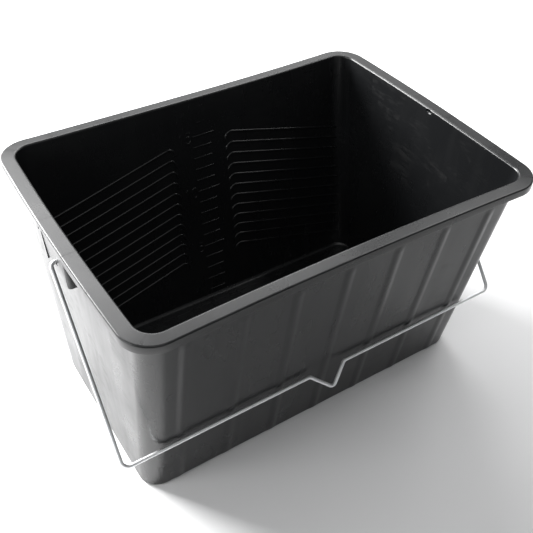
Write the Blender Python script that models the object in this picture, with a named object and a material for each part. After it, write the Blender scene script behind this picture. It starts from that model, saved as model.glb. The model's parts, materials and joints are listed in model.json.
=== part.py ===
"""Paint roller scuttle: a deep, tapered moulded bucket with a turned-down rim, and its wire bail handle.

Metres, +Z up. The origin is the middle of the underside, +X runs along the long side, and -Y is the
front, which the handle leans on.
"""

import math

import bmesh
import bpy
from mathutils import Vector

# Shell
HEIGHT = 0.2375
RIM_LENGTH = 0.392
RIM_WIDTH = 0.2872
RIM_CORNER = 0.028
BASE_LENGTH = 0.3615
BASE_WIDTH = 0.191
WALL_TOP_LENGTH = 0.3694
WALL_TOP_WIDTH = 0.2642
WALL_CORNER = 0.0185
WALL_THICKNESS = 0.0023
FLOOR_THICKNESS = 0.0028
SKIRT_DROP = 0.0085
SKIRT_THICKNESS = 0.0020
RIM_THICKNESS = 0.0023
RIM_FLAT = 0.0117
OUTER_ROUNDING = 0.0016
BASE_ROUNDING = 0.0025
FLOOR_ROUNDING = 0.0045
LONG_SIDE_BOW = -0.0033
END_BOW = 0.0022

# Stiffening ribs on the outside of both long walls
RIB_PITCH = 0.050
RIB_COUNT = 7
RIB_WIDTH = 0.014
RIB_HEIGHT = 0.0013
RIB_FOOT = 0.006
RIB_HEAD = 0.213
RIB_RUNOUT = 0.007

# Roller ridges and litre marks on the inside of the back wall
RIDGE_COUNT = 12
RIDGE_TOP = 0.1925
RIDGE_PITCH = 0.01225
RIDGE_SLOPE = 0.26
RIDGE_INNER_END = 0.036
RIDGE_OUTER_END = 0.169
RIDGE_HOOK_RADIUS = 0.007
RIDGE_WIDTH = 0.0022
RIDGE_HEIGHT = 0.0010
MARK_COUNT = 15
MARK_TOP = 0.1985
MARK_PITCH = 0.01165
MARK_PITCH_GROWTH = 0.00012
MARK_LEFT = -0.008
MARK_RIGHT = 0.0125
LONG_MARK_EXTRA = 0.004
MARK_WIDTH = 0.0014
MARK_HEIGHT = 0.0006

# Pivot housings under the rim, one at each end
HOUSING_HALF_WIDTH = 0.0245
HOUSING_BOTTOM = 0.2015
HOUSING_WALL = 0.0023
HOUSING_FACE = 0.1972
HOUSING_EDGE = 0.1980
STRIP_HEIGHT = 0.0050
PIVOT_HEIGHT = 0.213
PIVOT_HOLE_DIAMETER = 0.0046

# Wire handle
WIRE_DIAMETER = 0.0035
HANDLE_TOP_HALF_SPAN = 0.2005
HANDLE_BAR_HALF_SPAN = 0.2045
HANDLE_REACH = 0.1769
HANDLE_PIN_END = 0.1888
HANDLE_NOTCH_HALF_WIDTH = 0.0195
HANDLE_NOTCH_DEPTH = 0.0185
PIN_BEND_RADIUS = 0.0036
CORNER_BEND_RADIUS = 0.0065
NOTCH_SHOULDER_RADIUS = 0.005
NOTCH_TIP_RADIUS = 0.0045
WIRE_SIDES = 12
REST_GAP = 0.0003

CORNER_STEPS = 7
END_STEPS = 8
EMBED = 0.0010
WALL_TOP_HEIGHT = HEIGHT - SKIRT_DROP


def clear_scene():
    for obj in list(bpy.data.objects):
        bpy.data.objects.remove(obj, do_unlink=True)


def make_material(name, color, roughness, metallic):
    material = bpy.data.materials.new(name)
    material.use_nodes = True
    shader = material.node_tree.nodes["Principled BSDF"]
    shader.inputs["Base Color"].default_value = (*color, 1.0)
    shader.inputs["Roughness"].default_value = roughness
    shader.inputs["Metallic"].default_value = metallic
    return material


def new_object(name, bm):
    mesh = bpy.data.meshes.new(name)
    bm.to_mesh(mesh)
    bm.free()
    obj = bpy.data.objects.new(name, mesh)
    bpy.context.scene.collection.objects.link(obj)
    return obj


def wall_half_sizes(z):
    """Half length and half width of the outside of the wall at height z."""
    rise = z / WALL_TOP_HEIGHT
    half_length = (BASE_LENGTH + (WALL_TOP_LENGTH - BASE_LENGTH) * rise) / 2
    half_width = (BASE_WIDTH + (WALL_TOP_WIDTH - BASE_WIDTH) * rise) / 2
    return half_length, half_width


def rib_stations():
    """Places along a long side where a loop needs a point: five across each rib."""
    first = -RIB_PITCH * (RIB_COUNT - 1) / 2
    return [first + RIB_PITCH * i + RIB_WIDTH * j / 4 for i in range(RIB_COUNT) for j in range(-2, 3)]


def rib_shape(x):
    """Height of the ribs at x, from 0 between them to 1 on a crest."""
    from_crest = (x + RIB_PITCH / 2) % RIB_PITCH - RIB_PITCH / 2
    if abs(from_crest) >= RIB_WIDTH / 2:
        return 0.0
    return 0.5 + 0.5 * math.cos(2 * math.pi * from_crest / RIB_WIDTH)


def loop_points(half_length, half_width, corner, z, rib_height=0.0):
    """One closed loop round the bucket, a rounded rectangle whose sides bow more towards the rim."""
    points = []
    for quarter in range(4):
        on_long_side = quarter % 2 == 0
        along, out = (half_length, half_width) if on_long_side else (half_width, half_length)
        bow = (LONG_SIDE_BOW if on_long_side else END_BOW) * z / HEIGHT
        straight = along - corner
        if on_long_side:
            stations = rib_stations()
        else:
            stations = [straight * (2 * i / END_STEPS - 1) for i in range(1, END_STEPS)]
        side = []
        for s in stations:
            swell = rib_height * rib_shape(s) if on_long_side else 0.0
            side.append((s, -(out + swell + bow * (1 - (s / straight) ** 2))))
        for i in range(CORNER_STEPS + 1):
            angle = math.pi / 2 * (i / CORNER_STEPS - 1)
            side.append((straight + corner * math.cos(angle), corner * math.sin(angle) - out + corner))
        turn = quarter * math.pi / 2
        for s, t in side:
            x = s * math.cos(turn) - t * math.sin(turn)
            y = s * math.sin(turn) + t * math.cos(turn)
            points.append((x, y, z))
    return points


def wall_loop(z, inset, rib_height=0.0):
    half_length, half_width = wall_half_sizes(z)
    return loop_points(half_length - inset, half_width - inset, WALL_CORNER - inset, z, rib_height)


def rim_loop(inset, z):
    return loop_points(RIM_LENGTH / 2 - inset, RIM_WIDTH / 2 - inset, RIM_CORNER - inset, z)


def shell_loops():
    """The loops in order: up the outside, round the rim, down the inside."""
    under_rim = HEIGHT - RIM_THICKNESS
    skirt_bottom = HEIGHT - SKIRT_DROP
    slant = math.sqrt(0.5)
    wall_length, wall_width = wall_half_sizes(under_rim)
    inner_length = wall_length - WALL_THICKNESS
    inner_width = wall_width - WALL_THICKNESS
    inner_corner = WALL_CORNER - WALL_THICKNESS
    lip_rounding = RIM_LENGTH / 2 - RIM_FLAT - inner_length
    loops = [
        wall_loop(0.0, BASE_ROUNDING),
        wall_loop(BASE_ROUNDING * (1 - slant), BASE_ROUNDING * (1 - slant)),
        wall_loop(BASE_ROUNDING, 0.0),
        wall_loop(RIB_FOOT, 0.0),
        wall_loop(RIB_FOOT + RIB_RUNOUT, 0.0, RIB_HEIGHT),
        wall_loop(RIB_HEAD - RIB_RUNOUT, 0.0, RIB_HEIGHT),
        wall_loop(RIB_HEAD, 0.0),
        wall_loop(under_rim, 0.0),
        rim_loop(SKIRT_THICKNESS, under_rim),
        rim_loop(SKIRT_THICKNESS, skirt_bottom),
        rim_loop(0.0, skirt_bottom),
        rim_loop(0.0, HEIGHT - OUTER_ROUNDING),
        rim_loop(OUTER_ROUNDING * (1 - slant), HEIGHT - OUTER_ROUNDING * (1 - slant)),
        rim_loop(OUTER_ROUNDING, HEIGHT),
    ]
    for share in (1.0, 1 - slant, 0.0):
        out = lip_rounding * share
        drop = lip_rounding * (1 - math.sqrt(1 - (1 - share) ** 2))
        loops.append(loop_points(inner_length + out, inner_width + out, inner_corner + out, HEIGHT - drop))
    loops.append(wall_loop(FLOOR_THICKNESS + FLOOR_ROUNDING, WALL_THICKNESS))
    for share in (1 - slant, 1.0):
        inset = WALL_THICKNESS + FLOOR_ROUNDING * share
        lift = FLOOR_ROUNDING * (1 - math.sqrt(1 - (1 - share) ** 2))
        loops.append(wall_loop(FLOOR_THICKNESS + lift, inset))
    return loops


def bridge(bm, loops):
    """Skin a list of equal loops and close both ends."""
    rows = [[bm.verts.new(point) for point in loop] for loop in loops]
    for lower, upper in zip(rows, rows[1:]):
        for i in range(len(lower)):
            j = (i + 1) % len(lower)
            bm.faces.new((lower[i], lower[j], upper[j], upper[i]))
    bm.faces.new(list(reversed(rows[0])))
    bm.faces.new(rows[-1])


def inside_back(x, z):
    """The y of the back wall's inner face, which curves forwards at the bucket's corners."""
    half_length, half_width = wall_half_sizes(z)
    corner = WALL_CORNER - WALL_THICKNESS
    straight = half_length - WALL_THICKNESS - corner
    flat = half_width - WALL_THICKNESS
    if abs(x) > straight:
        return flat - corner + math.sqrt(corner ** 2 - (abs(x) - straight) ** 2)
    return flat + LONG_SIDE_BOW * z / HEIGHT * (1 - (x / straight) ** 2)


def inward_normal(x, z):
    """Unit vector out of the back wall's inner face into the bucket."""
    step = 0.0005
    along = Vector((2 * step, inside_back(x + step, z) - inside_back(x - step, z), 0.0))
    up = Vector((0.0, inside_back(x, z + step) - inside_back(x, z - step), 2 * step))
    return along.cross(up).normalized()


def raised_line(bm, places, width, height):
    """A bar of trapezium section along (x, z) places on the back wall, sunk a little into it."""
    loops = []
    for i, (x, z) in enumerate(places):
        before = places[max(i - 1, 0)]
        after = places[min(i + 1, len(places) - 1)]
        here = Vector((x, inside_back(x, z), z))
        ahead = Vector((after[0], inside_back(*after), after[1]))
        behind = Vector((before[0], inside_back(*before), before[1]))
        out = inward_normal(x, z)
        across = out.cross(ahead - behind).normalized()
        section = [(-0.62, -EMBED), (0.62, -EMBED), (0.22, height), (-0.22, height)]
        loops.append([here + across * (width * a) + out * b for a, b in section])
    bridge(bm, loops)


def ridge_places(row, side):
    """A ridge slopes down and away from the middle, and its inner end hooks downwards."""
    top = RIDGE_TOP - RIDGE_PITCH * row
    tilt = math.atan(RIDGE_SLOPE)
    places = []
    for i in range(4):
        bend = math.pi / 2 * (1 - i / 4)
        reach = RIDGE_HOOK_RADIUS * math.sin(bend)
        drop = RIDGE_HOOK_RADIUS * (1 - math.cos(bend))
        places.append((RIDGE_INNER_END - reach, top - drop))
    lengths = [0.0, 0.35, 0.70, 0.93, 1.0]
    for share in lengths:
        run = (RIDGE_OUTER_END - RIDGE_INNER_END) * share
        places.append((RIDGE_INNER_END + run, top - run * math.tan(tilt)))
    return [(side * x, z) for x, z in places]


def add_ridges():
    bm = bmesh.new()
    for row in range(RIDGE_COUNT):
        for side in (-1, 1):
            raised_line(bm, ridge_places(row, side), RIDGE_WIDTH, RIDGE_HEIGHT)
    bmesh.ops.recalc_face_normals(bm, faces=bm.faces)
    return new_object("ridges", bm)


def mark_height(index):
    """Height of a litre mark, the top one being 0; the marks spread apart towards the narrower base."""
    return MARK_TOP - MARK_PITCH * index - MARK_PITCH_GROWTH * index ** 2


def add_litre_marks():
    bm = bmesh.new()
    for index in range(MARK_COUNT):
        z = mark_height(index)
        right = MARK_RIGHT + (LONG_MARK_EXTRA if index % 5 == 0 else 0.0)
        raised_line(bm, [(MARK_LEFT, z), (right, z)], MARK_WIDTH, MARK_HEIGHT)
    bmesh.ops.recalc_face_normals(bm, faces=bm.faces)
    return new_object("litre_marks", bm)


def prism(name, outline, bottom, top):
    """An upright prism over a counter-clockwise outline in x and y."""
    bm = bmesh.new()
    bridge(bm, [[(x, y, bottom) for x, y in outline], [(x, y, top) for x, y in outline]])
    bmesh.ops.recalc_face_normals(bm, faces=bm.faces)
    return new_object(name, bm)


def box_outline(side, near, far, half_width):
    return [(side * near, -half_width), (side * far, -half_width), (side * far, half_width), (side * near, half_width)]


def add_housing(side):
    """A three-sided box that hangs from the rim in front of the end wall: a face between two webs."""
    in_wall = wall_half_sizes(HOUSING_BOTTOM)[0] + END_BOW * HOUSING_BOTTOM / HEIGHT - WALL_THICKNESS / 2
    web = HOUSING_HALF_WIDTH
    inner_web = web - HOUSING_WALL
    face_back = HOUSING_FACE - HOUSING_WALL
    outline = [
        (in_wall, -web), (HOUSING_EDGE, -web), (HOUSING_EDGE, -inner_web), (HOUSING_FACE, -inner_web),
        (HOUSING_FACE, inner_web), (HOUSING_EDGE, inner_web), (HOUSING_EDGE, web), (in_wall, web),
        (in_wall, inner_web), (face_back, inner_web), (face_back, -inner_web), (in_wall, -inner_web),
    ]
    top = HEIGHT - RIM_THICKNESS / 2
    return prism("housing", [(side * x, y) for x, y in outline], HOUSING_BOTTOM, top)


def add_skirt_notch(side):
    """Cutter that takes the skirt away where a housing stands in its place."""
    outline = box_outline(side, HOUSING_FACE - 0.006, RIM_LENGTH / 2 + 0.006, HOUSING_HALF_WIDTH - 0.001)
    return prism("skirt_notch", outline, HEIGHT - SKIRT_DROP - 0.004, HEIGHT - STRIP_HEIGHT)


def add_pivot_hole(side):
    bm = bmesh.new()
    bmesh.ops.create_cone(
        bm, cap_ends=True, segments=16, radius1=PIVOT_HOLE_DIAMETER / 2, radius2=PIVOT_HOLE_DIAMETER / 2, depth=0.008
    )
    cutter = new_object("pivot_hole", bm)
    cutter.location = (side * (HOUSING_FACE - HOUSING_WALL / 2), 0.0, PIVOT_HEIGHT)
    cutter.rotation_euler = (0.0, math.pi / 2, 0.0)
    return cutter


def combine(target, tool, operation):
    tool.hide_render = True
    tool.display_type = "WIRE"
    modifier = target.modifiers.new(tool.name, "BOOLEAN")
    modifier.operation = operation
    modifier.solver = "EXACT"
    modifier.object = tool


def build_bucket(plastic):
    bm = bmesh.new()
    bridge(bm, shell_loops())
    bucket = new_object("bucket_body", bm)
    for side in (-1, 1):
        combine(bucket, add_skirt_notch(side), "DIFFERENCE")
        combine(bucket, add_housing(side), "UNION")
        combine(bucket, add_pivot_hole(side), "DIFFERENCE")
    combine(bucket, add_ridges(), "UNION")
    combine(bucket, add_litre_marks(), "UNION")
    bucket.data.materials.append(plastic)
    bucket.data.shade_smooth()
    bucket.data.set_sharp_from_angle(angle=math.radians(35))
    return bucket


def rest_lean():
    """Angle of the resting arms from straight down, so that the bar just clears the front ribs."""
    base_half = BASE_WIDTH / 2
    taper = (WALL_TOP_WIDTH - BASE_WIDTH) / 2 / WALL_TOP_HEIGHT
    wall_tilt = math.atan(taper)
    stand_off = (RIB_HEIGHT + WIRE_DIAMETER / 2 + REST_GAP) / math.cos(wall_tilt)
    wall_at_pivot = base_half + taper * PIVOT_HEIGHT + stand_off
    return math.asin(wall_at_pivot * math.cos(wall_tilt) / HANDLE_REACH) - wall_tilt


def rounded_path(corners, radii, steps=6):
    """A polyline through 2-D corners, each inner corner replaced by an arc of its own radius."""
    points = [Vector(corners[0])]
    for before, corner, after, radius in zip(corners, corners[1:], corners[2:], radii):
        here = Vector(corner)
        back = (Vector(before) - here).normalized()
        ahead = (Vector(after) - here).normalized()
        half_angle = back.angle(ahead) / 2
        centre = here + (back + ahead).normalized() * (radius / math.sin(half_angle))
        start = here + back * (radius / math.tan(half_angle)) - centre
        end = here + ahead * (radius / math.tan(half_angle)) - centre
        sweep = start.angle(end)
        for i in range(steps + 1):
            share = i / steps
            mixed = start * math.sin((1 - share) * sweep) + end * math.sin(share * sweep)
            points.append(centre + mixed / math.sin(sweep))
    points.append(Vector(corners[-1]))
    return points


def handle_path():
    """The wire's centre line: x across the bucket, then the distance from the pivot axis."""
    half_corners = [
        (HANDLE_PIN_END, 0.0),
        (HANDLE_TOP_HALF_SPAN, 0.0),
        (HANDLE_BAR_HALF_SPAN, HANDLE_REACH),
        (HANDLE_NOTCH_HALF_WIDTH, HANDLE_REACH),
    ]
    tip = (0.0, HANDLE_REACH + HANDLE_NOTCH_DEPTH)
    left_half = [(-x, s) for x, s in half_corners]
    corners = left_half + [tip] + half_corners[::-1]
    half_radii = [PIN_BEND_RADIUS, CORNER_BEND_RADIUS, NOTCH_SHOULDER_RADIUS]
    return rounded_path(corners, half_radii + [NOTCH_TIP_RADIUS] + half_radii[::-1])


def build_handle(steel):
    lean = rest_lean()
    down = Vector((0.0, -math.sin(lean), -math.cos(lean)))
    across = Vector((1.0, 0.0, 0.0))
    normal = across.cross(down)
    path = handle_path()
    bm = bmesh.new()
    loops = []
    for i, place in enumerate(path):
        ahead = path[min(i + 1, len(path) - 1)] - path[max(i - 1, 0)]
        ahead.normalize()
        side = across * -ahead.y + down * ahead.x
        centre = across * place.x + down * place.y
        loop = []
        for k in range(WIRE_SIDES):
            angle = 2 * math.pi * k / WIRE_SIDES
            loop.append(centre + (side * math.cos(angle) + normal * math.sin(angle)) * (WIRE_DIAMETER / 2))
        loops.append(loop)
    bridge(bm, loops)
    bmesh.ops.recalc_face_normals(bm, faces=bm.faces)
    handle = new_object("wire_handle", bm)
    handle.location = (0.0, 0.0, PIVOT_HEIGHT)
    handle.data.materials.append(steel)
    handle.data.shade_smooth()
    handle.data.set_sharp_from_angle(angle=math.radians(50))
    return handle


def main():
    clear_scene()
    plastic = make_material("black_plastic", (0.012, 0.012, 0.013), 0.36, 0.0)
    steel = make_material("zinc_plated_wire", (0.62, 0.63, 0.64), 0.30, 1.0)
    build_bucket(plastic)
    build_handle(steel)


main()
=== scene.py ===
"""The looks of the paint roller scuttle: a detailed moulded bucket and wire handle around the CAD frame."""

import json
import math

import bmesh
import bpy
from mathutils import Matrix, Vector, noise


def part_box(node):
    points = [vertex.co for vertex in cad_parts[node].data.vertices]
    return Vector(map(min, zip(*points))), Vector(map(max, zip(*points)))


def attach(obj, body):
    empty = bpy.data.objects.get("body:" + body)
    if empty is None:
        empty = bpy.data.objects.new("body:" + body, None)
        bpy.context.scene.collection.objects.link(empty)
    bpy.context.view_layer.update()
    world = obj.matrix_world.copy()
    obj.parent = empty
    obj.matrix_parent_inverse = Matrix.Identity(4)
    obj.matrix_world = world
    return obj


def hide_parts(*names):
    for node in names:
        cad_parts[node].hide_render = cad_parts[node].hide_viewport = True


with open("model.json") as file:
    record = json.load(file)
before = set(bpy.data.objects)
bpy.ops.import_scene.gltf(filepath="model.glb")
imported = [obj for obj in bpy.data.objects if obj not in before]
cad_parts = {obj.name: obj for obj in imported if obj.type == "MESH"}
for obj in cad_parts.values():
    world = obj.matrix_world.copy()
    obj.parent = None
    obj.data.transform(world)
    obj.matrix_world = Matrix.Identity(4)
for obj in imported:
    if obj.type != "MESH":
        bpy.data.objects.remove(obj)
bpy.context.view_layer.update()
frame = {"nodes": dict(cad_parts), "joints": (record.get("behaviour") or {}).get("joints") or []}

MM = 0.001

# Overall sizes, read from the frame
BUCKET_LOW, BUCKET_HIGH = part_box("bucket_body")
HANDLE_LOW, HANDLE_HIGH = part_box("wire_handle")
HINGE = frame["joints"][0]
PIVOT = Vector(HINGE["pos_m"])
HEIGHT = BUCKET_HIGH.z

# Shell
END_BOW = 2.2 * MM
LONG_SIDE_BOW = -3.3 * MM
RIM_HALF_LENGTH = BUCKET_HIGH.x - END_BOW
RIM_HALF_WIDTH = BUCKET_HIGH.y
RIM_CORNER = 28 * MM
RIM_FLAT = 11.7 * MM
RIM_THICKNESS = 2.3 * MM
RIM_ROUNDING = 1.5 * MM
RIM_FALL = 0.5 * MM
RIM_SLOPE = RIM_FALL / (RIM_FLAT - RIM_ROUNDING)
RIM_PAD_HEIGHT = 0.08 * MM
SKIRT_DROP = 8.5 * MM
SKIRT_THICKNESS = 2.0 * MM
SKIRT_EDGE = 0.45 * MM
UNDER_RIM_FILLET = 2.0 * MM
WALL_THICKNESS = 2.3 * MM
WALL_CORNER = 18.5 * MM
BASE_ROUNDING = 2.5 * MM
FOOT_RING_WIDTH = 6.0 * MM
FOOT_RING_HEIGHT = 0.8 * MM
FLOOR_THICKNESS = 2.8 * MM
FLOOR_FILLET = 4.0 * MM
FLOOR_STEP_INSET = 5.5 * MM
FLOOR_STEP_HEIGHT = 0.6 * MM
FLAT_SUPPORT = 0.3 * MM
WARP_HEIGHT = 0.35 * MM
WARP_LENGTH = 130 * MM

# Ribs on both long walls
RIB_PITCH = 50 * MM
RIB_COUNT = 7
RIB_WIDTH = 14 * MM
RIB_HEIGHT = 1.05 * MM
RIB_FADE_START = 205 * MM
RIB_FADE_END = 215 * MM

# Roller ridges, litre marks and figures on the inside of the back wall
RIDGE_COUNT = 12
RIDGE_TOP = 192.5 * MM
RIDGE_PITCH = 12.25 * MM
RIDGE_SLOPE = 0.26
RIDGE_INNER_END = 36 * MM
RIDGE_OUTER_END = 171 * MM
RIDGE_HOOK_RADIUS = 7 * MM
RIDGE_WIDTH = 2.4 * MM
RIDGE_HEIGHT = 1.0 * MM
MARK_COUNT = 15
MARK_TOP = 198.5 * MM
MARK_PITCH = 11.65 * MM
MARK_PITCH_GROWTH = 0.12 * MM
MARK_LEFT = -8 * MM
MARK_RIGHT = 12.5 * MM
LONG_MARK_EXTRA = 4 * MM
MARK_WIDTH = 1.5 * MM
MARK_HEIGHT = 0.6 * MM
FIGURE_HEIGHT = 11 * MM
FIGURE_WIDTH = 5.5 * MM
FIGURE_SPACING = 8 * MM
FIGURE_RIGHT = -9.8 * MM
UNIT_LETTER_FOOT = 212 * MM
EMBED = 1.0 * MM

# Pivot housings under both ends of the rim
HOUSING_HALF_WIDTH = 24.5 * MM
HOUSING_CORNER = 3.0 * MM
HOUSING_BOTTOM = 201.5 * MM
HOUSING_WALL = 2.3 * MM
HOUSING_SLOPE = 0.045
PANEL_HALF_WIDTH = 20 * MM
PANEL_DEPTH_TOP = 0.4 * MM
PANEL_DEPTH_BOTTOM = 1.1 * MM
STRIP_HEIGHT = 5.0 * MM
STRIP_EDGE = 0.7 * MM
PIVOT_HOLE_RADIUS = 2.9 * MM
PIVOT_HOLE_OFFSET = 0.7 * MM

# Wire
WIRE_RADIUS = 1.75 * MM
REST_LEAN = math.radians(360 - HINGE["range_deg"][1]) / 2
PIN_END = 188.8 * MM
TOP_HALF_SPAN = 200.5 * MM
NOTCH_HALF_WIDTH = 19.5 * MM
NOTCH_DEPTH = 18.5 * MM
NOTCH_RISE = 16.8 * MM
PIN_BEND_RADIUS = 3.6 * MM
CORNER_BEND_RADIUS = 6.5 * MM
NOTCH_SHOULDER_RADIUS = 5 * MM
NOTCH_TIP_RADIUS = 4.5 * MM
WIRE_SIDES = 28

SOFTBOX_DISTANCE = 1.7
CORNER_STEPS = 16
STRAIGHT_STEPS = 8


# ---------------------------------------------------------------- measuring the frame

def cad_half_sizes(z):
    """Half length and half width of the CAD bucket's corners at one of its modelled heights.

    The pivot hole has vertices at the upper height too, so the housings are left out.
    """
    tolerance = 0.1 * MM
    level = [v.co for v in frame["nodes"]["bucket_body"].data.vertices if abs(v.co.z - z) < tolerance]
    points = [p for p in level if abs(p.y) > HOUSING_HALF_WIDTH + tolerance]
    return max(p.x for p in points), max(p.y for p in points)


CAD_FOOT_Z = 2.5 * MM
CAD_HEAD_Z = 213 * MM
FOOT_HALF = cad_half_sizes(CAD_FOOT_Z)
HEAD_HALF = cad_half_sizes(CAD_HEAD_Z)


def wall_half_sizes(z):
    """Half length and half width of the outside of the wall at height z."""
    rise = (z - CAD_FOOT_Z) / (CAD_HEAD_Z - CAD_FOOT_Z)
    head_length = HEAD_HALF[0] - END_BOW * CAD_HEAD_Z / HEIGHT
    foot_length = FOOT_HALF[0] - END_BOW * CAD_FOOT_Z / HEIGHT
    half_length = foot_length + (head_length - foot_length) * rise
    half_width = FOOT_HALF[1] + (HEAD_HALF[1] - FOOT_HALF[1]) * rise
    return half_length, half_width


# ---------------------------------------------------------------- small helpers

def smooth_step(low, high, value):
    t = min(max((value - low) / (high - low), 0.0), 1.0)
    return t * t * (3 - 2 * t)


def quarter_turn(steps):
    """Pairs (sine, 1 - cosine) from 0 to 90 degrees."""
    angles = [math.pi / 2 * i / steps for i in range(steps + 1)]
    return [(math.sin(angle), 1 - math.cos(angle)) for angle in angles]


def new_object(name, bm):
    mesh = bpy.data.meshes.new(name)
    bm.to_mesh(mesh)
    bm.free()
    obj = bpy.data.objects.new(name, mesh)
    bpy.context.scene.collection.objects.link(obj)
    return obj


def bridge(bm, loops, closed=True):
    """Skin a list of equal loops, and close both ends."""
    rows = [[bm.verts.new(point) for point in loop] for loop in loops]
    for lower, upper in zip(rows, rows[1:]):
        for i in range(len(lower)):
            j = (i + 1) % len(lower)
            bm.faces.new((lower[i], lower[j], upper[j], upper[i]))
    if closed:
        bm.faces.new(list(reversed(rows[0])))
        bm.faces.new(rows[-1])


def apply_modifiers(obj):
    depsgraph = bpy.context.evaluated_depsgraph_get()
    mesh = bpy.data.meshes.new_from_object(obj.evaluated_get(depsgraph))
    obj.modifiers.clear()
    obj.data = mesh


def combine(target, tool, operation):
    """Boolean the tool into the target, and remove the tool."""
    modifier = target.modifiers.new(tool.name, "BOOLEAN")
    modifier.operation = operation
    modifier.solver = "EXACT"
    modifier.object = tool
    apply_modifiers(target)
    bpy.data.objects.remove(tool, do_unlink=True)


def smooth_shading(obj, sharp_degrees):
    obj.data.shade_smooth()
    obj.data.set_sharp_from_angle(angle=math.radians(sharp_degrees))


# ---------------------------------------------------------------- the bucket's loops

def rib_stations():
    """Places along a long side: thirteen across each rib and three between two ribs."""
    across = 12
    between = 3
    places = []
    for i in range(RIB_COUNT):
        centre = RIB_PITCH * (i - (RIB_COUNT - 1) / 2)
        places += [centre + RIB_WIDTH * (j / across - 0.5) for j in range(across + 1)]
        if i < RIB_COUNT - 1:
            gap = RIB_PITCH - RIB_WIDTH
            places += [centre + RIB_WIDTH / 2 + gap * (j + 1) / (between + 1) for j in range(between)]
    return places


def end_stations(straight):
    """Places along an end: close together at the edges of the housing, wide apart elsewhere."""
    edge = HOUSING_HALF_WIDTH
    cluster = [edge - STRIP_EDGE * (1 - k / 2) for k in range(5)]
    inner = [cluster[0] * k / STRAIGHT_STEPS for k in range(STRAIGHT_STEPS)]
    outer = [cluster[-1] + (straight - cluster[-1]) * k / STRAIGHT_STEPS for k in range(1, STRAIGHT_STEPS)]
    positive = inner + cluster + outer
    return [-s for s in reversed(positive[1:])] + positive


def rib_shape(x):
    """Height of the ribs at x, from 0 between them to 1 on a crest."""
    from_crest = (x + RIB_PITCH / 2) % RIB_PITCH - RIB_PITCH / 2
    if abs(from_crest) >= RIB_WIDTH / 2:
        return 0.0
    return 0.5 + 0.5 * math.cos(2 * math.pi * from_crest / RIB_WIDTH)


def over_housing(s):
    """1 over a housing, 0 beside it."""
    return 1 - smooth_step(HOUSING_HALF_WIDTH - STRIP_EDGE, HOUSING_HALF_WIDTH + STRIP_EDGE, abs(s))


def outline(half_length, half_width, corner, z, rib_height=0.0, lift=0.0):
    """One closed loop round the bucket: a rounded rectangle with bowed sides.

    rib_height swells the long sides at the ribs, and lift raises the loop over the housings.
    """
    points = []
    for quarter in range(4):
        on_long_side = quarter % 2 == 0
        along, out = (half_length, half_width) if on_long_side else (half_width, half_length)
        bow = (LONG_SIDE_BOW if on_long_side else END_BOW) * z / HEIGHT
        straight = along - corner
        side = []
        for s in rib_stations() if on_long_side else end_stations(straight):
            swell = rib_height * rib_shape(s) if on_long_side else 0.0
            raised = 0.0 if on_long_side else lift * over_housing(s)
            side.append((s, -(out + swell + bow * (1 - (s / straight) ** 2)), z + raised))
        for i in range(CORNER_STEPS + 1):
            angle = math.pi / 2 * (i / CORNER_STEPS - 1)
            side.append((straight + corner * math.cos(angle), corner * math.sin(angle) - out + corner, z))
        turn = quarter * math.pi / 2
        for s, t, height in side:
            x = s * math.cos(turn) - t * math.sin(turn)
            y = s * math.sin(turn) + t * math.cos(turn)
            points.append((x, y, height))
    return points


def wall_outline(z, inset=0.0, height=None, rib_height=0.0):
    """A loop at an even distance inside the wall's outer surface at z, drawn at another height if given."""
    half_length, half_width = wall_half_sizes(z)
    level = z if height is None else height
    return outline(half_length - inset, half_width - inset, WALL_CORNER - inset, level, rib_height)


def rim_outline(inset, z, lift=0.0):
    return outline(RIM_HALF_LENGTH - inset, RIM_HALF_WIDTH - inset, RIM_CORNER - inset, z, lift=lift)


def rib_height_at(z):
    return RIB_HEIGHT * smooth_step(-2 * MM, 6 * MM, z) * (1 - smooth_step(RIB_FADE_START, RIB_FADE_END, z))


def underside_loops():
    foot_ring = BASE_ROUNDING + FOOT_RING_WIDTH
    ease = 0.4 * MM
    loops = [
        wall_outline(0.0, foot_ring + 2 * ease, height=FOOT_RING_HEIGHT),
        wall_outline(0.0, foot_ring + ease, height=FOOT_RING_HEIGHT - 0.1 * ease),
        wall_outline(0.0, foot_ring, height=0.1 * ease),
        wall_outline(0.0, foot_ring - ease, height=0.0),
    ]
    for sine, one_less_cosine in quarter_turn(5):
        z = BASE_ROUNDING * one_less_cosine
        loops.append(wall_outline(z, BASE_ROUNDING * (1 - sine), rib_height=rib_height_at(z)))
    return loops


def outer_wall_loops():
    heights = [4 * MM, 6 * MM]
    heights += [6 * MM + (RIB_FADE_START - 6 * MM) * i / 12 for i in range(1, 13)]
    heights += [RIB_FADE_START + (RIB_FADE_END - RIB_FADE_START) * i / 6 for i in range(1, 7)]
    heights += [218 * MM, 225 * MM]
    return [wall_outline(z, rib_height=rib_height_at(z)) for z in heights]


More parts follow.
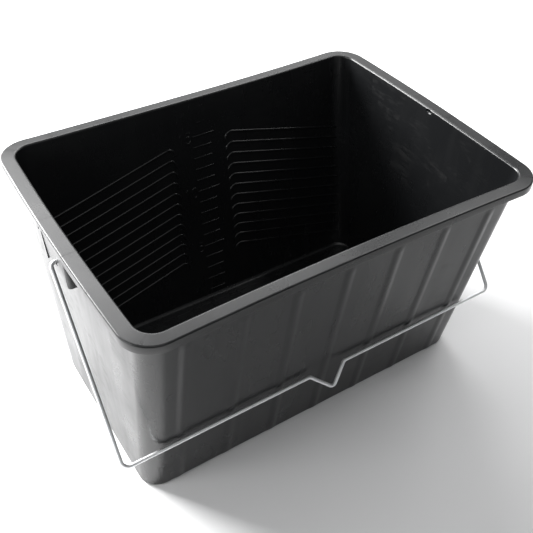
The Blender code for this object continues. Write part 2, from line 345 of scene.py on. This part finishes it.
def rim_loops():
    under_rim = HEIGHT - RIM_THICKNESS
    skirt_bottom = HEIGHT - SKIRT_DROP
    lift = SKIRT_DROP - STRIP_HEIGHT
    loops = []
    for sine, one_less_cosine in quarter_turn(4):
        z = under_rim - UNDER_RIM_FILLET * (1 - sine)
        loops.append(wall_outline(z, -UNDER_RIM_FILLET * one_less_cosine))
    inner = SKIRT_THICKNESS
    loops.append(rim_outline(inner + SKIRT_EDGE, under_rim))
    loops.append(rim_outline(inner, under_rim - SKIRT_EDGE))
    for sine, one_less_cosine in quarter_turn(3):
        z = skirt_bottom + SKIRT_EDGE * (1 - sine)
        loops.append(rim_outline(inner - SKIRT_EDGE * one_less_cosine, z, lift))
    for sine, one_less_cosine in quarter_turn(3):
        loops.append(rim_outline(SKIRT_EDGE * (1 - sine), skirt_bottom + SKIRT_EDGE * one_less_cosine, lift))
    outer_edge = HEIGHT - RIM_FALL
    for sine, one_less_cosine in quarter_turn(6):
        z = outer_edge - RIM_ROUNDING * (1 - sine)
        loops.append(rim_outline(RIM_ROUNDING * one_less_cosine, z, RIM_PAD_HEIGHT * sine))
    support_height = outer_edge + RIM_SLOPE * FLAT_SUPPORT
    loops.append(rim_outline(RIM_ROUNDING + FLAT_SUPPORT, support_height, RIM_PAD_HEIGHT))
    return loops


def lip_loops():
    """The rounded inner edge of the rim, which ends on the wall's inner face. The pads fade out on it."""
    wall_length, wall_width = wall_half_sizes(HEIGHT)
    inner_length = wall_length - WALL_THICKNESS
    inner_width = wall_width - WALL_THICKNESS
    inner_corner = WALL_CORNER - WALL_THICKNESS
    rounding = RIM_HALF_LENGTH - RIM_FLAT - inner_length
    support = rounding + FLAT_SUPPORT
    on_flat = HEIGHT - RIM_SLOPE * FLAT_SUPPORT
    loops = [outline(
        inner_length + support, inner_width + support, inner_corner + support, on_flat, lift=RIM_PAD_HEIGHT
    )]
    for sine, one_less_cosine in quarter_turn(6):
        out = rounding * (1 - sine)
        z = HEIGHT - rounding * one_less_cosine
        pad = RIM_PAD_HEIGHT * (1 - sine)
        loops.append(outline(inner_length + out, inner_width + out, inner_corner + out, z, lift=pad))
    return loops


def inner_wall_loops():
    top = HEIGHT - 6 * MM
    bottom = FLOOR_THICKNESS + FLOOR_STEP_HEIGHT + FLOOR_FILLET
    steps = 14
    loops = [wall_outline(top + (bottom - top) * i / steps, WALL_THICKNESS) for i in range(steps)]
    for sine, one_less_cosine in quarter_turn(6):
        z = bottom - FLOOR_FILLET * sine
        loops.append(wall_outline(z, WALL_THICKNESS + FLOOR_FILLET * one_less_cosine))
    return loops


def floor_loops():
    """A shallow step runs round the floor, a little inside the fillet."""
    ledge = WALL_THICKNESS + FLOOR_FILLET + FLOOR_STEP_INSET
    upper = FLOOR_THICKNESS + FLOOR_STEP_HEIGHT
    ease = 0.3 * MM
    return [
        wall_outline(upper, ledge - ease, height=upper),
        wall_outline(upper, ledge, height=upper - 0.2 * ease),
        wall_outline(upper, ledge + ease, height=FLOOR_THICKNESS + 0.2 * ease),
        wall_outline(upper, ledge + 2 * ease, height=FLOOR_THICKNESS),
    ]


def build_shell():
    bm = bmesh.new()
    outside = underside_loops() + outer_wall_loops() + rim_loops()
    inside = lip_loops() + inner_wall_loops() + floor_loops()
    bridge(bm, outside + inside)
    return new_object("bucket_shell", bm)


# ---------------------------------------------------------------- marks on the inner back wall

def inside_back(x, z):
    """The y of the back wall's inner face, which curves forwards at the bucket's corners."""
    half_length, half_width = wall_half_sizes(z)
    corner = WALL_CORNER - WALL_THICKNESS
    straight = half_length - WALL_THICKNESS - corner
    flat = half_width - WALL_THICKNESS
    if abs(x) > straight:
        return flat - corner + math.sqrt(corner ** 2 - (abs(x) - straight) ** 2)
    return flat + LONG_SIDE_BOW * z / HEIGHT * (1 - (x / straight) ** 2)


def inward_normal(x, z):
    """Unit vector out of the back wall's inner face into the bucket."""
    step = 0.5 * MM
    along = Vector((2 * step, inside_back(x + step, z) - inside_back(x - step, z), 0.0))
    up = Vector((0.0, inside_back(x, z + step) - inside_back(x, z - step), 2 * step))
    return along.cross(up).normalized()


def raised_line(bm, places, width, height):
    """A low rounded bead along (x, z) places on the back wall, sunk a little into it."""
    loops = []
    for i, (x, z) in enumerate(places):
        before = places[max(i - 1, 0)]
        after = places[min(i + 1, len(places) - 1)]
        here = Vector((x, inside_back(x, z), z))
        ahead = Vector((after[0], inside_back(*after), after[1]))
        behind = Vector((before[0], inside_back(*before), before[1]))
        out = inward_normal(x, z)
        across = out.cross(ahead - behind).normalized()
        end = i in (0, len(places) - 1)
        crown = 0.45 if end else 1.0
        section = [(-0.62, -EMBED), (0.62, -EMBED), (0.5, 0.3 * height)]
        section += [(0.38, 0.72 * height), (0.18, 0.96 * height)]
        section += [(-0.18, 0.96 * height), (-0.38, 0.72 * height)]
        section += [(-0.5, 0.3 * height)]
        loops.append([here + across * (width * a) + out * (b if b < 0 else b * crown) for a, b in section])
    bridge(bm, loops)


def with_eased_ends(places, ease):
    """The same line with an extra place close to each end, where the bead drops to the wall."""
    (x0, z0), (x1, z1) = places[0], places[1]
    (x3, z3), (x2, z2) = places[-1], places[-2]
    first = ease / math.hypot(x1 - x0, z1 - z0)
    last = ease / math.hypot(x3 - x2, z3 - z2)
    start = (x0 + (x1 - x0) * first, z0 + (z1 - z0) * first)
    end = (x3 + (x2 - x3) * last, z3 + (z2 - z3) * last)
    return [places[0], start] + places[1:-1] + [end, places[-1]]


def ridge_places(row, side):
    """A ridge slopes down and away from the middle, and its inner end hooks downwards."""
    top = RIDGE_TOP - RIDGE_PITCH * row
    tilt = math.atan(RIDGE_SLOPE)
    bend_steps = 6
    run_steps = 16
    places = [(RIDGE_INNER_END - RIDGE_HOOK_RADIUS, top - RIDGE_HOOK_RADIUS - 1.5 * MM)]
    for i in range(bend_steps):
        bend = math.pi / 2 * (1 - i / bend_steps)
        reach = RIDGE_HOOK_RADIUS * math.sin(bend)
        places.append((RIDGE_INNER_END - reach, top - RIDGE_HOOK_RADIUS * (1 - math.cos(bend))))
    for i in range(run_steps + 1):
        run = (RIDGE_OUTER_END - RIDGE_INNER_END) * i / run_steps
        places.append((RIDGE_INNER_END + run, top - run * math.tan(tilt)))
    return [(side * x, z) for x, z in with_eased_ends(places, 1.0 * MM)]


def mark_height(index):
    """Height of a litre mark, the top one being 0; the marks spread apart towards the narrower base."""
    return MARK_TOP - MARK_PITCH * index - MARK_PITCH_GROWTH * index ** 2


def arc(centre_x, centre_z, radius_x, radius_z, start, end, steps=10):
    """Places on an ellipse, from one angle to another in degrees."""
    places = []
    for i in range(steps + 1):
        angle = math.radians(start + (end - start) * i / steps)
        places.append((centre_x + radius_x * math.cos(angle), centre_z + radius_z * math.sin(angle)))
    return places


def figure_strokes(character):
    """Strokes of a plain figure in a box one unit wide and one unit high, none of which crosses itself."""
    if character == "1":
        return [[(0.25, 0.78), (0.6, 1.0)], [(0.6, 1.0), (0.6, 0.0)]]
    if character == "5":
        bowl = arc(0.42, 0.33, 0.58, 0.33, 125, -140)
        return [[(0.95, 1.0), (0.12, 1.0)], [(0.13, 1.0), (0.07, 0.55)], bowl]
    if character == "0":
        return [arc(0.5, 0.5, 0.5, 0.5, 85, 275), arc(0.5, 0.5, 0.5, 0.5, -95, 95)]
    return [[(0.1, 1.0), (0.1, 0.0)], [(0.1, 0.0), (0.95, 0.0)]]


def figure_places():
    """Each figure beside the marks, with the place of its lower left corner, and a plain L for litres."""
    places = [("L", -FIGURE_WIDTH / 2, UNIT_LETTER_FOOT)]
    for index in range(0, MARK_COUNT, 5):
        litres = str(MARK_COUNT - index)
        for place, character in enumerate(reversed(litres)):
            left = FIGURE_RIGHT - FIGURE_WIDTH - FIGURE_SPACING * place
            places.append((character, left, mark_height(index) - FIGURE_HEIGHT / 2))
    return places


def add_figures(bucket):
    """Melt the strokes of all the figures into the wall one by one, since they cross each other."""
    for character, left, foot in figure_places():
        for stroke in figure_strokes(character):
            bm = bmesh.new()
            places = [(left + FIGURE_WIDTH * u, foot + FIGURE_HEIGHT * v) for u, v in stroke]
            raised_line(bm, places, MARK_WIDTH, MARK_HEIGHT)
            bmesh.ops.recalc_face_normals(bm, faces=bm.faces)
            combine(bucket, new_object("stroke", bm), "UNION")


def build_ridges_and_marks():
    """The beads of the back wall that stand apart from each other: roller ridges and litre marks."""
    bm = bmesh.new()
    for row in range(RIDGE_COUNT):
        for side in (-1, 1):
            raised_line(bm, ridge_places(row, side), RIDGE_WIDTH, RIDGE_HEIGHT)
    for index in range(MARK_COUNT):
        z = mark_height(index)
        right = MARK_RIGHT + (LONG_MARK_EXTRA if index % 5 == 0 else 0.0)
        places = with_eased_ends([(MARK_LEFT, z), (0.5 * (MARK_LEFT + right), z), (right, z)], 0.8 * MM)
        raised_line(bm, places, MARK_WIDTH, MARK_HEIGHT)
    bmesh.ops.recalc_face_normals(bm, faces=bm.faces)
    return new_object("ridges_and_marks", bm)


# ---------------------------------------------------------------- pivot housings

def block(name, corners_low, corners_high):
    """A solid between two flat outlines of equal length."""
    bm = bmesh.new()
    bridge(bm, [corners_low, corners_high])
    bmesh.ops.recalc_face_normals(bm, faces=bm.faces)
    return new_object(name, bm)


def housing_face(z):
    """The x of a housing's outer face, which leans back towards its bottom."""
    top = RIM_HALF_LENGTH + END_BOW - 0.35 * MM
    return top - HOUSING_SLOPE * (HEIGHT - STRIP_HEIGHT - z)


def housing_outline(side, z, inset):
    """A housing's plan with rounded outer corners."""
    wall = wall_half_sizes(z)[0] + END_BOW * z / HEIGHT - WALL_THICKNESS / 2
    face = housing_face(z) - inset
    half = HOUSING_HALF_WIDTH - inset
    corner = HOUSING_CORNER - inset
    points = [(wall, -half)]
    points += [(face - corner + x, y - half + corner) for x, y in arc(0, 0, corner, corner, -90, 0, steps=6)]
    points += [(face - corner + x, y + half - corner) for x, y in arc(0, 0, corner, corner, 0, 90, steps=6)]
    points.append((wall, half))
    return [(side * x, y, z) for x, y in points]


def build_housing(side):
    top = HEIGHT - RIM_THICKNESS / 2
    edge = 0.5 * MM
    heights = [(HOUSING_BOTTOM, edge), (HOUSING_BOTTOM + 0.3 * edge, 0.3 * edge), (HOUSING_BOTTOM + edge, 0.0)]
    loops = [housing_outline(side, z, inset) for z, inset in heights + [(top, 0.0)]]
    bm = bmesh.new()
    bridge(bm, loops)
    bmesh.ops.recalc_face_normals(bm, faces=bm.faces)
    housing = new_object("housing", bm)

    def plan(near, far, half, z):
        return [(side * near, -half, z), (side * far, -half, z), (side * far, half, z), (side * near, half, z)]

    low = HOUSING_BOTTOM - 3 * MM
    high = HEIGHT - RIM_THICKNESS
    web_inner = HOUSING_HALF_WIDTH - HOUSING_WALL
    wall_side = wall_half_sizes(low)[0] - WALL_THICKNESS
    back = HOUSING_WALL + PANEL_DEPTH_BOTTOM
    hollow = block(
        "hollow",
        plan(wall_side, housing_face(low) - back, web_inner, low),
        plan(wall_side, housing_face(high) - back, web_inner, high),
    )
    combine(housing, hollow, "DIFFERENCE")
    panel_top = HEIGHT - STRIP_HEIGHT - 0.8 * MM
    recess = block(
        "panel_recess",
        plan(housing_face(low) - PANEL_DEPTH_BOTTOM, RIM_HALF_LENGTH + 9 * MM, PANEL_HALF_WIDTH, low),
        plan(housing_face(panel_top) - PANEL_DEPTH_TOP, RIM_HALF_LENGTH + 9 * MM, PANEL_HALF_WIDTH, panel_top),
    )
    combine(housing, recess, "DIFFERENCE")
    bm = bmesh.new()
    bmesh.ops.create_cone(
        bm, cap_ends=True, segments=32, radius1=PIVOT_HOLE_RADIUS, radius2=PIVOT_HOLE_RADIUS, depth=9 * MM
    )
    hole = new_object("pivot_hole", bm)
    hole.location = (side * housing_face(PIVOT.z), PIVOT.y - PIVOT_HOLE_OFFSET, PIVOT.z - PIVOT_HOLE_OFFSET)
    hole.rotation_euler = (0.0, math.pi / 2, 0.0)
    combine(housing, hole, "DIFFERENCE")
    return housing


def build_thumb_dimple(side):
    """Cutter for the small half-moon dent just under the rim's inner edge."""
    bm = bmesh.new()
    bmesh.ops.create_uvsphere(bm, u_segments=24, v_segments=16, radius=1.0)
    dimple = new_object("dimple", bm)
    inner_edge = wall_half_sizes(HEIGHT)[0] + END_BOW - WALL_THICKNESS
    dimple.location = (side * (inner_edge - 0.2 * MM), -4 * MM, HEIGHT - 3.0 * MM)
    dimple.scale = (1.7 * MM, 4.2 * MM, 2.6 * MM)
    return dimple


def build_gate_mark():
    """The stub left on the underside where the plastic was injected."""
    rings = [(3.2, 1.6), (3.2, 0.75), (3.0, 0.55), (1.4, 0.5), (1.2, 0.28), (0.9, 0.2)]
    bm = bmesh.new()
    loops = []
    for radius, z in reversed(rings):
        loops.append([(x, y, z * MM) for x, y in arc(0, 0, radius * MM, radius * MM, 0, 345, steps=23)])
    bridge(bm, loops)
    bmesh.ops.recalc_face_normals(bm, faces=bm.faces)
    return new_object("gate_mark", bm)


def warp(obj):
    """A gentle unevenness over the whole moulding, none at the foot so that it stands flat.

    Known fault: noise_vector takes its offsets from the clock unless noise.seed_set is called first, so the
    unevenness differs slightly from run to run.
    """
    for vertex in obj.data.vertices:
        place = vertex.co / WARP_LENGTH
        share = smooth_step(0.0, 0.5 * HEIGHT, vertex.co.z)
        vertex.co += noise.noise_vector(place) * (WARP_HEIGHT * share)


def build_bucket():
    bucket = build_shell()
    for side in (-1, 1):
        combine(bucket, build_housing(side), "UNION")
    combine(bucket, build_ridges_and_marks(), "UNION")
    add_figures(bucket)
    combine(bucket, build_thumb_dimple(1), "DIFFERENCE")
    combine(bucket, build_gate_mark(), "UNION")
    warp(bucket)
    smooth_shading(bucket, 32)
    return bucket


# ---------------------------------------------------------------- wire handle

def rounded_path(corners, radii, steps=10):
    """A polyline through 2-D corners, each inner corner replaced by an arc of its own radius."""
    points = [Vector(corners[0])]
    for before, corner, after, radius in zip(corners, corners[1:], corners[2:], radii):
        here = Vector(corner)
        back = (Vector(before) - here).normalized()
        ahead = (Vector(after) - here).normalized()
        half_angle = back.angle(ahead) / 2
        centre = here + (back + ahead).normalized() * (radius / math.sin(half_angle))
        start = here + back * (radius / math.tan(half_angle)) - centre
        end = here + ahead * (radius / math.tan(half_angle)) - centre
        sweep = start.angle(end)
        for i in range(steps + 1):
            share = i / steps
            mixed = start * math.sin((1 - share) * sweep) + end * math.sin(share * sweep)
            points.append(centre + mixed / math.sin(sweep))
    points.append(Vector(corners[-1]))
    return points


def handle_path():
    """The wire's centre line: x across the bucket, then the distance from the pivot axis."""
    span = HANDLE_HIGH.x - WIRE_RADIUS
    reach = (PIVOT.z - WIRE_RADIUS - HANDLE_LOW.z) / math.cos(REST_LEAN) - NOTCH_RISE
    half_corners = [(PIN_END, 0.0), (TOP_HALF_SPAN, 0.0), (span, reach), (NOTCH_HALF_WIDTH, reach)]
    left_half = [(-x, s) for x, s in half_corners]
    corners = left_half + [(0.0, reach + NOTCH_DEPTH)] + half_corners[::-1]
    half_radii = [PIN_BEND_RADIUS, CORNER_BEND_RADIUS, NOTCH_SHOULDER_RADIUS]
    return rounded_path(corners, half_radii + [NOTCH_TIP_RADIUS] + half_radii[::-1])


def split_long_runs(points, longest):
    """The same path with extra points on its long straights."""
    result = [points[0]]
    for before, after in zip(points, points[1:]):
        pieces = max(1, math.ceil((after - before).length / longest))
        result += [before + (after - before) * (i + 1) / pieces for i in range(pieces)]
    return result


def build_handle():
    """A tube along the path, its sheared ends slightly rounded, with u running along the wire."""
    down = Vector((0.0, -math.sin(REST_LEAN), -math.cos(REST_LEAN)))
    across = Vector((1.0, 0.0, 0.0))
    normal = across.cross(down)
    path = split_long_runs(handle_path(), 12 * MM)
    first = (path[1] - path[0]).normalized()
    last = (path[-1] - path[-2]).normalized()
    burr = 0.25 * MM
    stations = [(path[0], 0.8), (path[0] + first * burr, 1.0)] + [(p, 1.0) for p in path[1:-1]]
    stations += [(path[-1] - last * burr, 1.0), (path[-1], 0.8)]
    bm = bmesh.new()
    loops = []
    travelled = [0.0]
    for i, (place, width) in enumerate(stations):
        ahead = stations[min(i + 1, len(stations) - 1)][0] - stations[max(i - 1, 0)][0]
        ahead.normalize()
        side = across * -ahead.y + down * ahead.x
        centre = PIVOT + across * place.x + down * place.y
        bend = 0.25 * MM * noise.noise(Vector((place.x, place.y, 0.0)) * 14)
        centre += normal * bend
        loop = []
        for k in range(WIRE_SIDES):
            angle = 2 * math.pi * k / WIRE_SIDES
            loop.append(centre + (side * math.cos(angle) + normal * math.sin(angle)) * (WIRE_RADIUS * width))
        loops.append(loop)
        if i:
            travelled.append(travelled[-1] + (place - stations[i - 1][0]).length)
    bridge(bm, loops)
    uv = bm.loops.layers.uv.new("wire_uv")
    bm.faces.ensure_lookup_table()
    for row in range(len(loops) - 1):
        for k in range(WIRE_SIDES):
            face = bm.faces[row * WIRE_SIDES + k]
            corners = [(row, k), (row, k + 1), (row + 1, k + 1), (row + 1, k)]
            for corner, (r, c) in zip(face.loops, corners):
                corner[uv].uv = (travelled[r] / travelled[-1], c / WIRE_SIDES)
    bmesh.ops.recalc_face_normals(bm, faces=bm.faces)
    handle = new_object("handle_wire", bm)
    smooth_shading(handle, 40)
    return handle


# ---------------------------------------------------------------- materials

class Nodes:
    """Short calls for building a material's node tree."""

    def __init__(self, name):
        self.material = bpy.data.materials.new(name)
        self.material.use_nodes = True
        self.tree = self.material.node_tree
        self.shader = self.tree.nodes["Principled BSDF"]

    def add(self, kind, **settings):
        node = self.tree.nodes.new(kind)
        for key, value in settings.items():
            setattr(node, key, value)
        return node

    def link(self, output, socket):
        self.tree.links.new(output, socket)

    def coordinates(self, scale, kind="Object", turn=(0.0, 0.0, 0.0)):
        """The object's own metres, turned about its axes and stretched by scale along each one."""
        source = self.add("ShaderNodeTexCoord")
        mapping = self.add("ShaderNodeMapping")
        mapping.inputs["Rotation"].default_value = [math.radians(angle) for angle in turn]
        mapping.inputs["Scale"].default_value = scale
        self.link(source.outputs[kind], mapping.inputs["Vector"])
        return mapping.outputs["Vector"]

    def noise(self, vector, scale, detail=3.0, roughness=0.55, distortion=0.0):
        node = self.add("ShaderNodeTexNoise")
        self.link(vector, node.inputs["Vector"])
        node.inputs["Scale"].default_value = scale
        node.inputs["Detail"].default_value = detail
        node.inputs["Roughness"].default_value = roughness
        node.inputs["Distortion"].default_value = distortion
        return node.outputs["Fac"]

    def remap(self, value, low, high, to_low, to_high):
        node = self.add("ShaderNodeMapRange", interpolation_type="SMOOTHSTEP")
        self.link(value, node.inputs["Value"])
        for name, number in zip(("From Min", "From Max", "To Min", "To Max"), (low, high, to_low, to_high)):
            node.inputs[name].default_value = number
        return node.outputs["Result"]

    def math(self, operation, first, second=None):
        node = self.add("ShaderNodeMath", operation=operation)
        for socket, value in zip(node.inputs, (first, second)):
            if isinstance(value, (int, float)):
                socket.default_value = value
            elif value is not None:
                self.link(value, socket)
        return node.outputs["Value"]

    def mix(self, factor, first, second):
        """Mix of two colours, each a tuple or another mix."""
        node = self.add("ShaderNodeMix", data_type="RGBA")
        self.link(factor, node.inputs["Factor"])
        sockets = [s for s in node.inputs if s.type == "RGBA"]
        for socket, colour in zip(sockets, (first, second)):
            if isinstance(colour, tuple):
                socket.default_value = (*colour, 1.0)
            else:
                self.link(colour, socket)
        return next(s for s in node.outputs if s.type == "RGBA")

    def bump(self, height, distance, strength=1.0, below=None):
        node = self.add("ShaderNodeBump")
        node.inputs["Strength"].default_value = strength
        node.inputs["Distance"].default_value = distance
        self.link(height, node.inputs["Height"])
        if below is not None:
            self.link(below, node.inputs["Normal"])
        return node.outputs["Normal"]


def plastic_material(name, rough_low, rough_high, smear, wipe_angle):
    """Satin black polypropylene. smear is the strength of its wiping marks and scuffs."""
    nodes = Nodes(name)
    plain = nodes.coordinates((1, 1, 1))
    upright = nodes.coordinates((1, 1, 0.15))
    wiped = nodes.coordinates((0.18, 0.18, 1), turn=(0.0, wipe_angle, 0.0))
    clouds = nodes.noise(plain, 11, detail=3)
    streaks = nodes.noise(upright, 38, detail=3, roughness=0.6, distortion=0.5)
    wipes = nodes.noise(wiped, 210, detail=3, roughness=0.6, distortion=0.8)
    patches = nodes.noise(plain, 19, detail=3, roughness=0.6, distortion=1.5)
    specks = nodes.noise(plain, 330, detail=2)
    grain = nodes.noise(plain, 1500, detail=2)

    smear_mask = nodes.remap(patches, 0.48, 0.66, 0.0, smear)
    wipe_lines = nodes.math("MULTIPLY", smear_mask, nodes.remap(wipes, 0.42, 0.62, 0.0, 1.0))
    speck_mask = nodes.remap(specks, 0.76, 0.80, 0.0, 0.35 * smear)
    colour = nodes.mix(wipe_lines, (0.0070, 0.0074, 0.0080), (0.0125, 0.0128, 0.0132))
    colour = nodes.mix(speck_mask, colour, (0.045, 0.045, 0.045))
    nodes.link(colour, nodes.shader.inputs["Base Color"])

    rough = nodes.remap(clouds, 0.3, 0.7, rough_low, rough_high)
    rough = nodes.math("ADD", rough, nodes.remap(streaks, 0.35, 0.7, -0.025, 0.035))
    rough = nodes.math("ADD", rough, nodes.math("MULTIPLY", wipe_lines, 0.07))
    nodes.link(rough, nodes.shader.inputs["Roughness"])
    nodes.shader.inputs["IOR"].default_value = 1.49

    normal = nodes.bump(wipes, 0.004 * MM, strength=smear)
    normal = nodes.bump(grain, 0.003 * MM, strength=0.5, below=normal)
    nodes.link(normal, nodes.shader.inputs["Normal"])
    return nodes.material


def zinc_material():
    """Zinc plated drawn wire: pale, slightly cloudy metal with fine marks along its length."""
    nodes = Nodes("zinc_plated_wire")
    along = nodes.coordinates((6, 9, 1), kind="UV")
    plain = nodes.coordinates((1, 1, 1))
    drawn = nodes.noise(along, 7, detail=4, roughness=0.7)
    cloudy = nodes.noise(plain, 120, detail=4)
    speckle = nodes.noise(plain, 1800, detail=2)
    colour = nodes.mix(nodes.remap(cloudy, 0.35, 0.7, 0.0, 1.0), (0.86, 0.87, 0.88), (0.76, 0.77, 0.78))
    nodes.link(colour, nodes.shader.inputs["Base Color"])
    rough = nodes.remap(drawn, 0.3, 0.7, 0.42, 0.54)
    rough = nodes.math("ADD", rough, nodes.remap(cloudy, 0.4, 0.7, 0.0, 0.06))
    nodes.link(rough, nodes.shader.inputs["Roughness"])
    nodes.shader.inputs["Metallic"].default_value = 0.85
    normal = nodes.bump(drawn, 0.01 * MM, strength=0.4)
    normal = nodes.bump(speckle, 0.005 * MM, strength=0.4, below=normal)
    nodes.link(normal, nodes.shader.inputs["Normal"])
    return nodes.material


def paint_bucket(bucket):
    """The inside keeps its moulded gloss, and the outside has been wiped and rubbed."""
    bucket.data.materials.clear()
    bucket.data.materials.append(plastic_material("plastic_outside", 0.27, 0.33, smear=0.9, wipe_angle=-8))
    bucket.data.materials.append(plastic_material("plastic_inside", 0.25, 0.30, smear=0.25, wipe_angle=80))
    for polygon in bucket.data.polygons:
        place = polygon.center
        half_length, half_width = wall_half_sizes(place.z)
        inside_x = abs(place.x) < half_length - WALL_THICKNESS / 2
        inside_y = abs(place.y) < half_width - WALL_THICKNESS / 2
        above_floor = place.z > FLOOR_THICKNESS / 2
        polygon.material_index = 1 if inside_x and inside_y and above_floor else 0


def floor_material():
    nodes = Nodes("white_floor")
    clouds = nodes.noise(nodes.coordinates((1, 1, 1)), 3, detail=2)
    colour = nodes.mix(nodes.remap(clouds, 0.3, 0.7, 0.0, 1.0), (0.90, 0.90, 0.90), (0.88, 0.88, 0.885))
    nodes.link(colour, nodes.shader.inputs["Base Color"])
    nodes.shader.inputs["Roughness"].default_value = 0.85
    return nodes.material


# ---------------------------------------------------------------- scene

def build_floor():
    half = 7.0
    bm = bmesh.new()
    bm.faces.new([bm.verts.new((x * half, y * half, 0.0)) for x, y in ((-1, -1), (1, -1), (1, 1), (-1, 1))])
    floor = new_object("floor", bm)
    floor.data.materials.append(floor_material())


def direction(azimuth, elevation):
    """Unit vector from the object towards a place: azimuth 0 is the front, -Y, and 90 is +X."""
    turn = math.radians(azimuth)
    rise = math.radians(elevation)
    return Vector((math.sin(turn) * math.cos(rise), -math.cos(turn) * math.cos(rise), math.sin(rise)))


def add_softbox(name, azimuth, elevation, width, height, radiance):
    light = bpy.data.lights.new(name, "AREA")
    light.shape = "RECTANGLE"
    light.size = width
    light.size_y = height
    light.energy = radiance * math.pi * width * height
    lamp = bpy.data.objects.new(name, light)
    middle = Vector((0.0, 0.0, HEIGHT / 2))
    lamp.location = middle + direction(azimuth, elevation) * SOFTBOX_DISTANCE
    lamp.rotation_euler = (middle - lamp.location).to_track_quat("-Z", "Y").to_euler()
    lamp.visible_camera = False
    bpy.context.scene.collection.objects.link(lamp)


def build_lights():
    world = bpy.data.worlds.new("studio")
    world.use_nodes = True
    background = world.node_tree.nodes["Background"]
    background.inputs["Color"].default_value = (0.97, 0.985, 1.0, 1.0)
    background.inputs["Strength"].default_value = 0.16
    bpy.context.scene.world = world
    add_softbox("left_key", azimuth=210, elevation=29, width=0.95, height=0.85, radiance=37)
    add_softbox("back_softbox", azimuth=168, elevation=46, width=1.5, height=0.6, radiance=7.5)
    add_softbox("low_back", azimuth=148, elevation=22, width=1.8, height=0.35, radiance=1.8)
    add_softbox("left_fill", azimuth=270, elevation=25, width=0.85, height=0.6, radiance=6.0)
    add_softbox("right_fill", azimuth=98, elevation=50, width=0.9, height=0.6, radiance=4.5)
    add_softbox("front_fill", azimuth=330, elevation=62, width=1.2, height=0.8, radiance=1.1)


def build_camera():
    aim = Vector((1.5 * MM, -3.3 * MM, 117.9 * MM))
    distance = 750.5 * MM
    camera = bpy.data.cameras.new("camera")
    camera.sensor_width = 36.0
    camera.lens = 52.2
    view = bpy.data.objects.new("camera", camera)
    towards = direction(-33.98, 42.02)
    view.location = aim + towards * distance
    level = (-towards).to_track_quat("-Z", "Y").to_matrix()
    view.rotation_euler = (level @ Matrix.Rotation(math.radians(1.87), 3, "Z")).to_euler()
    bpy.context.scene.collection.objects.link(view)
    bpy.context.scene.camera = view


def main():
    bucket = build_bucket()
    paint_bucket(bucket)
    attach(bucket, "bucket")
    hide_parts("bucket_body")

    handle = build_handle()
    handle.data.materials.append(zinc_material())
    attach(handle, "handle")
    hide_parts("wire_handle")

    build_floor()
    build_lights()
    build_camera()
    bpy.context.scene.view_settings.view_transform = "Standard"


main()
